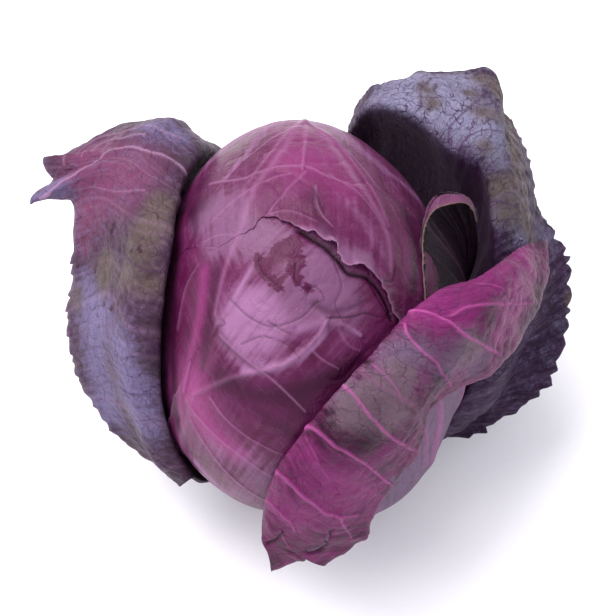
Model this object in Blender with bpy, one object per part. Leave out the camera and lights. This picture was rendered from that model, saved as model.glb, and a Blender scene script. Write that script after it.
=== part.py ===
# Red cabbage head standing on its cut stem: a dense ball of wrapped leaves, and four loose
# outer leaves that rise along the ball, turn over at a crest and hang outward.
# Each loose leaf is a thin closed blade. Lengths are in millimetres and angles in degrees,
# until a piece is made. The front is at -Y, and the stem's cut face lies at the origin.

import bpy
import numpy as np

MM = 0.001

STEM_HEIGHT = 11.7
STEM_FOOT_RADIUS = 21.0
STEM_TOP_RADIUS = 22.5
STEM_EDGE = 1.5
STEM_SIDES = 40

BALL_CENTRE = np.array([-3.0, -9.0, 99.0])
BALL_HALF_SIZE = np.array([73.0, 94.0, 91.0])
BALL_UNDERSIDE = 12.0
BALL_TURNS, BALL_RINGS = 54, 38
# A swelling at the lower front left and a flatter shoulder at the upper right:
# azimuth, elevation, height and angular spread.
BALL_SWELLINGS = [(235, -28, 5.0, 34), (35, 40, -3.0, 36)]
LAYER_STEP = 1.6
LAYER_EDGE = 2.2
# Angles from the crown between which the layers run out toward the stem.
LAYER_END = (125, 152)

# Outlines of the ball's two upper leaves, as angle from the crown toward +X and toward +Y.
FRONT_LAYER = [(-90, -160), (-100, -120), (-78, -88), (-77, -68), (-57, -56), (-42, -44), (-29, -36),
               (-24, -28), (-17, -19), (-11, -11), (10, 5), (60, 10), (120, 0), (150, -60), (100, -150),
               (0, -178)]
BACK_LAYER = [(-130, -110), (-100, -60), (-80, -30), (-60, -12), (-41, -5), (-29, -11), (-17, -8),
              (-9, -5), (-3, -9), (8, -14), (13, -20), (19, -21), (24, -25), (30, -33), (45, -50),
              (62, -80), (75, -110), (95, -145), (150, -90), (178, 0), (120, 130), (0, 178), (-120, 130),
              (-178, 0)]

LEAF_WALL = 1.2
# The width of a belly, as a part of the leaf's width and of its rise.
BELLY_SPREAD = 0.2
# Past its crest a leaf's line lifts off the ball before it falls to the flap, less so on a short flap.
CREST_LIFT = 6.5
CREST_TURN = 0.35
LONG_FLAP = 30.0

# Each loose leaf is a row of lines from the stem up the ball to its crest, flap and margin.
# A station holds those three points. base holds the azimuths of its first and last line on
# the stem, its radius and its height; gap is its extra clearance from the ball half way up,
# and belly is a swelling out from the ball, with the parts of the leaf's width and of its rise
# that it is centred at.
LEAF_LEFT = {
    "base": (121, 229, 25.0, 6.0), "gap": 0.5, "belly": (0, 0.5, 0.4), "root_wall": 3.0,
    "lines": 34, "steps": 15,
    "stations": [
        ((-42, 76, 118), (-58, 90, 112), (-76, 95, 96)),
        ((-50, 56, 144), (-64, 76, 144), (-88, 86, 128)),
        ((-56, 38, 153), (-80, 62, 149), (-110, 74, 125)),
        ((-60, 18, 160), (-91, 50, 148), (-134, 63, 126)),
        ((-60, 12, 161), (-94, 45, 148), (-122, 50, 120)),
        ((-61, 6, 162), (-96, 40, 150), (-137, 36, 124)),
        ((-62, -2, 162), (-95, 28, 146), (-115, 35, 122)),
        ((-64, -20, 158), (-92, 10, 142), (-112, 22, 116)),
        ((-67, -38, 146), (-95, -8, 128), (-116, 5, 98)),
        ((-69, -53, 130), (-97, -26, 110), (-115, -10, 80)),
        ((-69, -63, 106), (-94, -42, 86), (-111, -27, 64)),
        ((-64, -72, 78), (-80, -56, 58), (-94, -43, 46)),
        ((-56, -79, 62), (-64, -67, 44), (-71, -55, 33)),
    ],
    "waves": (5, 1.5), "teeth": (0.66, 1.0, 3.5),
}
LEAF_RIGHT = {
    "base": (69, -40, 25.0, 4.2), "gap": 5.5, "belly": (0, 0.5, 0.4), "root_wall": 2.4,
    "lines": 40, "steps": 15,
    "stations": [
        ((20, 88, 116), (26, 110, 112), (30, 118, 100)),
        ((30, 84, 140), (34, 98, 142), (32, 100, 130)),
        ((43, 76, 150), (48, 94, 152), (46, 107, 134)),
        ((56, 66, 152), (62, 92, 152), (60, 113, 130)),
        ((66, 52, 152), (76, 84, 152), (76, 113, 130)),
        ((79, 44, 150), (90, 74, 148), (89, 110, 130)),
        ((85, 36, 147), (97, 62, 140), (99, 97, 122)),
        ((88, 22, 140), (104, 50, 128), (107, 76, 112)),
        ((89, 5, 128), (110, 32, 114), (114, 54, 104)),
        ((90, -10, 112), (114, 16, 98), (123, 32, 92)),
        ((86, -24, 92), (112, -2, 78), (128, 12, 80)),
        ((78, -34, 68), (102, -16, 58), (124, -8, 62)),
        ((68, -38, 44), (88, -26, 40), (108, -24, 42)),
        ((56, -40, 28), (68, -34, 26), (80, -34, 26)),
    ],
    "waves": (6, 2.0), "teeth": (0.48, 1.0, 6.0),
}
LEAF_FRONT = {
    "base": (243, 333, 25.0, 7.2), "gap": 2.2, "belly": (8, 0.6, 0.35), "root_wall": 2.2,
    "lines": 34, "steps": 15,
    "stations": [
        ((-21, -109, 70), (-19, -118, 58), (-18, -119, 42)),
        ((-19, -108, 92), (2, -117, 63), (22, -109, 47)),
        ((-12, -105, 118), (13, -115, 87), (32, -104, 66)),
        ((0, -99, 140), (28, -107, 113), (46, -99, 83)),
        ((14, -89, 154), (44, -97, 129), (57, -91, 100)),
        ((26, -78, 161), (56, -85, 143), (67, -79, 118)),
        ((37, -66, 164), (72, -65, 153), (88, -60, 120)),
        ((47, -54, 165), (88, -41, 154), (106, -38, 112)),
        ((54, -48, 165), (98, -19, 147), (117, -7, 114)),
        ((60, -43, 163), (100, 0, 139), (118, 16, 124)),
    ],
    "waves": (4, 1.0), "teeth": (0.0, 0.12, 5.0),
}
LEAF_CURLED = {
    "base": (-26, 22, 25.5, 10.3), "gap": 2.6, "belly": (0, 0.5, 0.4), "root_wall": 1.4,
    "lines": 18, "steps": 12,
    "stations": [
        ((60, -41, 146), (60, -42, 150), (60, -43, 153)),
        ((57, -29, 155), (58, -30, 159), (58, -31, 163)),
        ((57, -14, 158), (58, -14, 162), (58, -14, 166)),
        ((60, 0, 156), (61, 0, 160), (61, 0, 164)),
        ((64, 15, 149), (65, 17, 152), (64, 18, 154)),
        ((69, 22, 139), (69, 25, 142), (69, 27, 144)),
        ((77, 26, 132), (78, 28, 136), (78, 29, 138)),
    ],
    "waves": (2, 0.6), "teeth": None,
}

SKIN_COLORS = {
    "cut_stem": (0.62, 0.55, 0.42),
    "head": (0.30, 0.06, 0.19),
    "leaf_left": (0.16, 0.09, 0.16),
    "leaf_right": (0.11, 0.09, 0.15),
    "leaf_front": (0.22, 0.03, 0.13),
    "leaf_curled": (0.12, 0.05, 0.10),
}
SKIN_ROUGHNESS = 0.42


def clear_scene():
    for obj in list(bpy.data.objects):
        bpy.data.objects.remove(obj, do_unlink=True)


def along(points, where):
    """A smooth curve through the rows of points, read at where, from 0 at the first to 1 at the last."""
    points = np.asarray(points, float)
    last = len(points) - 1
    place = np.clip(where, 0, 1) * last
    start = np.minimum(place.astype(int), last - 1)
    part = (place - start).reshape(-1, *[1] * (points.ndim - 1))
    ends = np.concatenate([[2 * points[0] - points[1]], points, [2 * points[-1] - points[-2]]])
    a, b, c, d = ends[start], ends[start + 1], ends[start + 2], ends[start + 3]
    return 0.5 * (2 * b + (c - a) * part + (2 * a - 5 * b + 4 * c - d) * part**2
                  + (3 * b - a - 3 * c + d) * part**3)


def unit(vectors):
    return vectors / np.linalg.norm(vectors, axis=-1, keepdims=True)


def direction(azimuth, elevation):
    a, e = np.radians(azimuth), np.radians(elevation)
    return np.stack([np.cos(a) * np.cos(e), np.sin(a) * np.cos(e), np.sin(e) * np.ones_like(a)], -1)


def ball_radius(way):
    """The ball's radius without its leaf layers, along unit vectors from its centre."""
    radius = 1 / np.linalg.norm(way / BALL_HALF_SIZE, axis=-1)
    for azimuth, elevation, height, spread in BALL_SWELLINGS:
        angle = np.degrees(np.arccos(np.clip(way @ direction(azimuth, elevation), -1, 1)))
        radius = radius + height * np.exp(-(angle / spread) ** 2)
    return radius


def inside_outline(spots, outline):
    """How far inside a closed outline each spot lies, in the outline's own units; negative outside."""
    corners = along(list(outline) + [outline[0]], np.linspace(0, 1, 8 * len(outline) + 1))
    inside = np.zeros(spots.shape[:-1], bool)
    nearest = np.full(spots.shape[:-1], 1e9)
    for start, end in zip(corners[:-1], corners[1:]):
        edge, off = end - start, spots - start
        part = np.clip(off @ edge / max(edge @ edge, 1e-9), 0, 1)
        nearest = np.minimum(nearest, np.linalg.norm(off - part[..., None] * edge, axis=-1))
        crosses = (start[1] > spots[..., 1]) != (end[1] > spots[..., 1])
        rise = edge[1] if abs(edge[1]) > 1e-9 else 1e-9
        inside ^= crosses & (spots[..., 0] < start[0] + (spots[..., 1] - start[1]) / rise * edge[0])
    return np.where(inside, nearest, -nearest)


def layer_height(way):
    """The front and back leaves of the ball, each one leaf's thickness above what it covers."""
    fall = np.degrees(np.arccos(np.clip(way[..., 2], -1, 1)))
    level = np.maximum(np.linalg.norm(way[..., :2], axis=-1), 1e-9)
    spots = way[..., :2] / level[..., None] * fall[..., None]
    height = np.zeros(way.shape[:-1])
    for outline in (FRONT_LAYER, BACK_LAYER):
        height += LAYER_STEP * np.clip(inside_outline(spots, outline) / LAYER_EDGE + 0.5, 0, 1)
    start, end = LAYER_END
    return height * np.clip((end - fall) / (end - start), 0, 1)


def skin(name):
    material = bpy.data.materials.new(name + "_skin")
    material.use_nodes = True
    shader = material.node_tree.nodes["Principled BSDF"]
    shader.inputs["Base Color"].default_value = (*SKIN_COLORS[name], 1)
    shader.inputs["Roughness"].default_value = SKIN_ROUGHNESS
    shader.inputs["Metallic"].default_value = 0
    return material


def add_piece(name, points, faces):
    mesh = bpy.data.meshes.new(name)
    mesh.from_pydata((np.asarray(points) * MM).tolist(), [], [list(face) for face in faces])
    mesh.validate()
    mesh.shade_smooth()
    piece = bpy.data.objects.new(name, mesh)
    piece.data.materials.append(skin(name))
    bpy.context.scene.collection.objects.link(piece)
    return piece


def turned(profile, sides):
    """Points and faces of a closed solid turned from (radius, height) pairs, its ends on the axis."""
    points = [(0, 0, profile[0][1])]
    for radius, height in profile:
        for angle in np.linspace(0, 2 * np.pi, sides, endpoint=False):
            points.append((radius * np.cos(angle), radius * np.sin(angle), height))
    points.append((0, 0, profile[-1][1]))
    faces = []
    for side in range(sides):
        here, beside = 1 + side, 1 + (side + 1) % sides
        faces.append((0, beside, here))
        for ring in range(len(profile) - 1):
            low = ring * sides
            faces.append((here + low, beside + low, beside + low + sides, here + low + sides))
        top = (len(profile) - 1) * sides
        faces.append((here + top, beside + top, len(points) - 1))
    return points, faces


def make_stem():
    profile = [
        (STEM_FOOT_RADIUS - STEM_EDGE, 0),
        (STEM_FOOT_RADIUS, STEM_EDGE),
        (STEM_TOP_RADIUS, STEM_HEIGHT),
    ]
    return add_piece("cut_stem", *turned(profile, STEM_SIDES))


def make_ball():
    """Rings of points from the crown down to the flat underside, where the stem meets the ball."""
    falls = np.linspace(0, np.pi, BALL_RINGS + 1)[1:-1]
    turns = np.linspace(0, 2 * np.pi, BALL_TURNS, endpoint=False)
    fall, turn = np.meshgrid(falls, turns, indexing="ij")
    ways = np.stack([np.sin(fall) * np.cos(turn), np.sin(fall) * np.sin(turn), np.cos(fall)], -1)
    ends = np.array([[0.0, 0.0, 1.0], [0.0, 0.0, -1.0]])
    ways = np.concatenate([ends[:1], ways.reshape(-1, 3), ends[1:]])
    points = BALL_CENTRE + ways * (ball_radius(ways) + layer_height(ways))[:, None]
    points[:, 2] = np.maximum(points[:, 2], BALL_UNDERSIDE)
    faces = []
    for side in range(BALL_TURNS):
        here, beside = 1 + side, 1 + (side + 1) % BALL_TURNS
        faces.append((0, here, beside))
        for ring in range(len(falls) - 1):
            low = ring * BALL_TURNS
            faces.append((here + low, here + low + BALL_TURNS, beside + low + BALL_TURNS, beside + low))
        last = (len(falls) - 1) * BALL_TURNS
        faces.append((here + last, len(points) - 1, beside + last))
    return add_piece("head", points, faces)


def leaf_sheet(leaf):
    """The leaf's middle surface, as rows of points: one row a line, from the stem to the margin."""
    across = np.linspace(0, 1, leaf["lines"])
    crest, flap, margin = np.moveaxis(along(leaf["stations"], across), 1, 0)
    first, last, radius, height = leaf["base"]
    turn = np.radians(first + (last - first) * across)
    base = np.stack([radius * np.cos(turn), radius * np.sin(turn), np.full_like(turn, height)], -1)
    low, high = unit(base - BALL_CENTRE), unit(crest - BALL_CENTRE)
    sweep = np.arccos(np.clip((low * high).sum(-1), -1, 1))[:, None]
    low_gap = np.linalg.norm(base - BALL_CENTRE, axis=-1) - ball_radius(low)
    high_gap = np.linalg.norm(crest - BALL_CENTRE, axis=-1) - ball_radius(high)
    swelling, centre, height_part = leaf["belly"]
    belly = (swelling * np.exp(-((across - centre) / BELLY_SPREAD) ** 2))[:, None]
    stops = []
    for part in (0, 0.2, 0.4, 0.6, 0.8, 1):
        way = (np.sin((1 - part) * sweep) * low + np.sin(part * sweep) * high) / np.sin(sweep)
        gap = low_gap + (high_gap - low_gap) * part**3
        gap = gap + leaf["gap"] * np.sin(np.pi * part)
        reach = (ball_radius(way) + gap)[:, None] + belly * np.exp(-((part - height_part) / BELLY_SPREAD) ** 2)
        stops.append(BALL_CENTRE + way * reach)
    turned_over = crest + CREST_TURN * (flap - crest)
    fold = np.clip(np.linalg.norm(flap - crest, axis=-1) / LONG_FLAP, 0, 1)
    turned_over += high * (CREST_LIFT * fold)[:, None]
    stops += [turned_over, flap, margin]
    sheet = along(stops, np.linspace(0, 1, leaf["steps"])).transpose(1, 0, 2)
    waves, swing = leaf["waves"]
    sway = swing * np.sin(2 * np.pi * waves * across)[:, None] * np.linspace(0, 1, leaf["steps"]) ** 4
    return sheet + sheet_normals(sheet) * sway[..., None]


def sheet_normals(sheet):
    return unit(np.cross(np.gradient(sheet, axis=0), np.gradient(sheet, axis=1)))


def make_leaf(name, leaf):
    """A closed blade: both faces are split into triangles alike, with saw teeth on the margin."""
    sheet = leaf_sheet(leaf)
    lines, steps = sheet.shape[:2]
    toward_margin = np.linspace(0, 1, steps)
    wall = LEAF_WALL + (leaf["root_wall"] - LEAF_WALL) * (1 - toward_margin) ** 1.5
    half = sheet_normals(sheet) * wall[None, :, None] / 2
    number = np.arange(lines * steps).reshape(lines, steps)
    a, b, c, d = number[:-1, :-1], number[1:, :-1], number[1:, 1:], number[:-1, 1:]
    face = np.concatenate([np.stack([a, b, c], -1).reshape(-1, 3), np.stack([a, c, d], -1).reshape(-1, 3)])
    front, back = (sheet + half).reshape(-1, 3), (sheet - half).reshape(-1, 3)
    rim = list(number[:, 0][::-1]) + list(number[0, 1:]) + list(number[1:, -1]) + list(number[-1, 1:-1][::-1])
    rim = [int(i) for i in rim]
    face, extra_front, extra_back = face.tolist(), [], []
    if leaf["teeth"]:
        start, end, length = leaf["teeth"]
        for line in range(lines - 1):
            if not start <= (line + 0.5) / (lines - 1) <= end:
                continue
            near, far = number[line, -1], number[line + 1, -1]
            middle = (sheet[line, -1] + sheet[line + 1, -1]) / 2
            out = unit(middle - (sheet[line, -2] + sheet[line + 1, -2]) / 2)
            lean = unit(sheet[line + 1, -1] - sheet[line, -1])
            point = middle + length * (out + 0.35 * lean)
            tip = lines * steps + len(extra_front)
            extra_front.append(point + half[line, -1])
            extra_back.append(point - half[line, -1])
            face.append([int(near), int(far), tip])
            rim.insert(rim.index(int(near)) + 1, tip)
    count = lines * steps + len(extra_front)
    points = np.concatenate([front, np.reshape(extra_front, (-1, 3)), back, np.reshape(extra_back, (-1, 3))])
    faces = [(i, j, k) for i, j, k in face] + [(i + count, k + count, j + count) for i, j, k in face]
    for here, beside in zip(rim, rim[1:] + rim[:1]):
        faces += [(here, beside, beside + count), (here, beside + count, here + count)]
    corners = points[np.array(faces)]
    if np.linalg.det(corners - BALL_CENTRE).sum() < 0:
        faces = [face[::-1] for face in faces]
    return add_piece(name, points, faces)


clear_scene()
make_stem()
make_ball()
make_leaf("leaf_left", LEAF_LEFT)
make_leaf("leaf_right", LEAF_RIGHT)
make_leaf("leaf_front", LEAF_FRONT)
make_leaf("leaf_curled", LEAF_CURLED)
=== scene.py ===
import math
import bpy
import numpy as np
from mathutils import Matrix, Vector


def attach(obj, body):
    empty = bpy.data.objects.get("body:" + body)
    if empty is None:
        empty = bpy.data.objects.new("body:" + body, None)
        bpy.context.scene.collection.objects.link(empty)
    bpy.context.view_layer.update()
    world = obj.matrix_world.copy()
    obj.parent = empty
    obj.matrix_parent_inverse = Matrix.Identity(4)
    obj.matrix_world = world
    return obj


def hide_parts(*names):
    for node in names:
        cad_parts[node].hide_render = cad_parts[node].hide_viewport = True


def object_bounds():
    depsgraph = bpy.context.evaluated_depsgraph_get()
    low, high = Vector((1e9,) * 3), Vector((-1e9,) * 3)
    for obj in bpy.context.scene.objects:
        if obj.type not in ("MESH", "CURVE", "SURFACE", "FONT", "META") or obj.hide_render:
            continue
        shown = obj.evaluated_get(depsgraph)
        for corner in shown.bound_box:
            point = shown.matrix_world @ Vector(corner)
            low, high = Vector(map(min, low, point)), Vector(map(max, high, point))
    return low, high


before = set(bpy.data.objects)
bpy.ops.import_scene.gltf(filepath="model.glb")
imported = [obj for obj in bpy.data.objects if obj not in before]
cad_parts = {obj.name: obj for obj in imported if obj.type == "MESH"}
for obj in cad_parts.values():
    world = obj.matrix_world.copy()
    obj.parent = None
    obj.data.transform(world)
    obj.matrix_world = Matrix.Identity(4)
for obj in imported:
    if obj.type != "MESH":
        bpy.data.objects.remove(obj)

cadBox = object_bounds()
mm = 0.001
detail = 1.0   # part of the full number of lines in each mesh

view = {
    "target": (0, 0, 91), "distance": 1100, "elevation": 55,   # mm and degrees
    "pixelsPerMm": 2.05, "picture": 616, "sensor": 36.0,
}

ball = {
    "centre": np.array([-3.0, -9.0, 99.0]), "halfSize": np.array([73.0, 94.0, 91.0]),
    "underside": 12.0,
    "outerRows": (350, 620, 150), "innerRows": (200, 360, 179.5),   # rings, turns and lowest angle
    "swellings": [(235, -28, 5.0, 34), (35, 40, -3.0, 36)],   # azimuth, elevation, height, spread
    "meanRadius": 88.0, "ribRadius": 85, "waveRadius": 80,   # for marks, ribs and soft waves
    "leafStep": 1.6, "layerEnd": (125, 152),   # a layer's thickness, and degrees where it fades out
    "rimDrop": 0.9, "rimReach": 3.0, "rimSunk": 0.6,   # mm down, degrees back under the leaf, mm deep
}


def along(points, where):   # smooth curve through the rows of points, read from 0 to 1
    points = np.asarray(points, float)
    last = len(points) - 1
    place = np.clip(where, 0, 1) * last
    start = np.minimum(place.astype(int), last - 1)
    part = (place - start).reshape(-1, *[1] * (points.ndim - 1))
    ends = np.concatenate([[2 * points[0] - points[1]], points, [2 * points[-1] - points[-2]]])
    a, b, c, d = ends[start], ends[start + 1], ends[start + 2], ends[start + 3]
    return 0.5 * (2 * b + (c - a) * part + (2 * a - 5 * b + 4 * c - d) * part**2
                  + (3 * b - a - 3 * c + d) * part**3)


def unit(vectors):   # each vector at a length of 1
    return vectors / np.maximum(np.linalg.norm(vectors, axis=-1, keepdims=True), 1e-12)


def direction(azimuth, elevation):
    a, e = np.radians(azimuth), np.radians(elevation)
    return np.stack([np.cos(a) * np.cos(e), np.sin(a) * np.cos(e), np.sin(e) * np.ones_like(a)], -1)


def smooth(value, low, high):   # 0 below low, 1 above high, eased between
    part = np.clip((value - low) / (high - low), 0, 1)
    return part * part * (3 - 2 * part)


def swell(points, size, seed):   # soft random waves about size mm long, from -1 to 1
    rng = np.random.default_rng(seed)
    total = np.zeros(points.shape[:-1])
    for _ in range(10):
        way = unit(rng.normal(size=3)) * 2 * np.pi / (size * rng.uniform(0.7, 1.5))
        total += np.sin(points @ way + rng.uniform(0, 2 * np.pi))
    return np.clip(total / 3.6, -1, 1)   # ten waves rarely add up to more


def ballRadius(way):   # mm from the ball's centre to its surface
    radius = 1 / np.linalg.norm(way / ball["halfSize"], axis=-1)
    for azimuth, elevation, height, spread in ball["swellings"]:
        angle = np.degrees(np.arccos(np.clip(way @ direction(azimuth, elevation), -1, 1)))
        radius = radius + height * np.exp(-(angle / spread) ** 2)
    return radius


def insideOutline(spots, outline):   # how far inside a closed outline, in degrees
    corners = along(list(outline) + [outline[0]], np.linspace(0, 1, 8 * len(outline) + 1))
    inside = np.zeros(spots.shape[:-1], bool)
    nearest = np.full(spots.shape[:-1], 1e9)
    for start, end in zip(corners[:-1], corners[1:]):
        edge, off = end - start, spots - start
        part = np.clip(off @ edge / max(edge @ edge, 1e-9), 0, 1)
        nearest = np.minimum(nearest, ((off - part[..., None] * edge) ** 2).sum(-1))
        crosses = (start[1] > spots[..., 1]) != (end[1] > spots[..., 1])
        rise = edge[1] if abs(edge[1]) > 1e-9 else 1e-9
        inside ^= crosses & (spots[..., 0] < start[0] + (spots[..., 1] - start[1]) / rise * edge[0])
    return np.where(inside, 1, -1) * np.sqrt(nearest)


def fallOf(way):   # degrees down from the crown
    return np.degrees(np.arccos(np.clip(way[..., 2], -1, 1)))


def wayAt(fall, turn):   # radians down from the crown and round from +X
    return np.stack([np.sin(fall) * np.cos(turn), np.sin(fall) * np.sin(turn), np.cos(fall)], -1)


def chartSpots(way):   # angle from the crown toward +X and toward +Y
    level = np.maximum(np.linalg.norm(way[..., :2], axis=-1), 1e-9)
    return way[..., :2] / level[..., None] * fallOf(way)[..., None]


def chartWay(spots):   # the way back from the chart
    return wayAt(np.radians(np.linalg.norm(spots, axis=-1)), np.arctan2(spots[..., 1], spots[..., 0]))


def cameraAxes():   # the camera's place, then its ways back, right and up
    e = math.radians(view["elevation"])
    back = np.array([0.0, -math.cos(e), math.sin(e)])
    right = np.array([1.0, 0.0, 0.0])
    return np.array(view["target"]) + back * view["distance"], back, right, np.cross(back, right)


def onPicture(points):   # pixel column, pixel row and depth
    spot, back, right, up = cameraAxes()
    off = points - spot
    depth = -(off @ back)
    scale = view["pixelsPerMm"] * view["distance"] / depth
    half = view["picture"] / 2
    return np.stack([half + scale * (off @ right), half - scale * (off @ up), depth], -1)


def pickPlaces(points, pixels, reach=2.5):   # rows of the points that show at the pixels
    seen = onPicture(points)
    picked = []
    for x, y in np.reshape(pixels, (-1, 2)):
        off = np.hypot(seen[:, 0] - x, seen[:, 1] - y)
        close = np.flatnonzero(off < max(reach, off.min() + 0.5))
        picked.append(close[np.argmin(seen[close, 2] + 2.0 * off[close])])
    return np.array(picked)


def lineDistance(points, line, reach):   # distance to a line of 3-D points, far ones left at 1e3
    result = np.full(len(points), 1e3)
    low, high = line.min(0) - reach, line.max(0) + reach
    near = np.flatnonzero(((points > low) & (points < high)).all(1))
    part = np.zeros(len(points))
    if len(near) == 0:
        return result, part
    best = np.full(len(near), 1e6)
    where = np.zeros(len(near))
    for number, (start, end) in enumerate(zip(line[:-1], line[1:])):
        edge, off = end - start, points[near] - start
        t = np.clip(off @ edge / max(edge @ edge, 1e-9), 0, 1)
        gap = ((off - t[:, None] * edge) ** 2).sum(-1)
        better = gap < best
        best[better] = gap[better]
        where[better] = (number + t[better]) / (len(line) - 1)
    result[near] = np.sqrt(best)
    part[near] = where
    return result, part


maskNames = ("rib", "line", "bloomAndHighlight", "olive", "blush", "shade", "rim", "mark")


def addObject(name, data):
    holder = bpy.data.objects.new(name, data)
    bpy.context.scene.collection.objects.link(holder)
    return holder


def addMesh(name, points, faces, masks, maps, material):   # faces with four corners only
    mesh = bpy.data.meshes.new(name)
    mesh.vertices.add(len(points))
    mesh.vertices.foreach_set("co", (points * mm).astype(np.float32).ravel())
    mesh.loops.add(faces.size)
    mesh.loops.foreach_set("vertex_index", faces.astype(np.int32).ravel())
    mesh.polygons.add(len(faces))
    mesh.polygons.foreach_set("loop_start", np.arange(0, faces.size, 4, dtype=np.int32))
    mesh.update(calc_edges=True)
    mesh.validate()
    mesh.shade_smooth()
    for mask in maskNames:
        values = np.zeros(len(points), np.float32)
        if mask in masks:
            values[:] = np.clip(masks[mask], 0, 1)
        mesh.attributes.new(mask, "FLOAT", "POINT").data.foreach_set("value", values)
    if maps is not None:
        layer = mesh.uv_layers.new(name="leafMap")
        index = np.zeros(len(mesh.loops), np.int32)
        mesh.loops.foreach_get("vertex_index", index)
        layer.uv.foreach_set("vector", (maps[index] * mm).astype(np.float32).ravel())
    mesh.materials.append(material)
    return addObject(name, mesh)


def settle(piece, node):   # tie the piece to the CAD model
    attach(piece, "root")
    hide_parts(node)
    print("made", piece.name, len(piece.data.polygons), "faces")


def onSphere(points):   # the ball's marks are measured on an even sphere of its mean radius
    return ball["centre"] + ball["meanRadius"] * unit(points - ball["centre"])


falls, turns = np.meshgrid(np.radians(np.arange(0.5, 130, 0.5)), np.radians(np.arange(0, 360, 0.5)))
ballWays = wayAt(falls, turns)
ballGrid = (ball["centre"] + ballWays * (ballRadius(ballWays) + 1.5)[..., None]).reshape(-1, 3)


def paint(points, marks, sheet=None):
    # Masks and relief from a piece's lines and patches. Each is placed by pixels of the photograph
    # and lies on the surface that shows there: a leaf's sheet, or the ball where none is given.
    onSheet = sheet is not None
    masks = {name: np.zeros(len(points)) for name in maskNames}
    relief = np.zeros(len(points))
    picking = points if onSheet else ballGrid
    measured = points if onSheet else onSphere(points)
    for mask, width, strength, height, pixels in marks["lines"]:
        picked = pickPlaces(picking, pixels)
        where = np.linspace(0, 1, 8 * len(picked))
        if onSheet:
            place = along(np.stack(np.divmod(picked, sheet.shape[1]), -1), where)
            low = np.clip(place.astype(int), 0, np.array(sheet.shape[:2]) - 2)
            a, b = np.clip(place - low, 0, 1).T[..., None]
            i, j = low.T
            dense = ((1 - a) * (1 - b) * sheet[i, j] + a * (1 - b) * sheet[i + 1, j]
                     + (1 - a) * b * sheet[i, j + 1] + a * b * sheet[i + 1, j + 1])
        else:
            dense = onSphere(along(onSphere(picking[picked]), where))
        gap, part = lineDistance(measured, dense, 3.2 * width + 2)
        taper = width * (1 - 0.5 * part)   # a vein thins toward its end
        masks[mask] = np.maximum(masks[mask], strength * np.exp(-(gap / taper) ** 2))
        relief += height * np.exp(-(gap / (1.4 * taper)) ** 2)
    for mask, radius, amount, pixels in marks["patches"]:
        spots = picking[pickPlaces(picking, pixels, 4)]
        for place in spots if onSheet else onSphere(spots):
            gap = np.linalg.norm(measured - place, axis=1)
            masks[mask] = 1 - (1 - masks[mask]) * (1 - amount * np.exp(-(gap / radius) ** 2))
    return masks, relief


def linear(code):   # sRGB hex to the linear colour that a shader takes
    parts = [int(code[i:i + 2], 16) / 255 for i in (1, 3, 5)]
    return tuple(p / 12.92 if p <= 0.04045 else ((p + 0.055) / 1.055) ** 2.4 for p in parts) + (1.0,)


def addNode(tree, kind, settings, links):   # gives the node's outputs
    node = tree.nodes.new(kind)
    for key, value in settings.items():
        if isinstance(key, int) or key in node.inputs:
            node.inputs[key].default_value = value
        else:
            setattr(node, key, value)
    for key, source in links.items():
        tree.links.new(source, node.inputs[key])
    return node.outputs


def newMaterial(name):   # a material without nodes yet
    material = bpy.data.materials.new(name)
    material.use_nodes = True
    material.node_tree.nodes.clear()
    return material, material.node_tree


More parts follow.
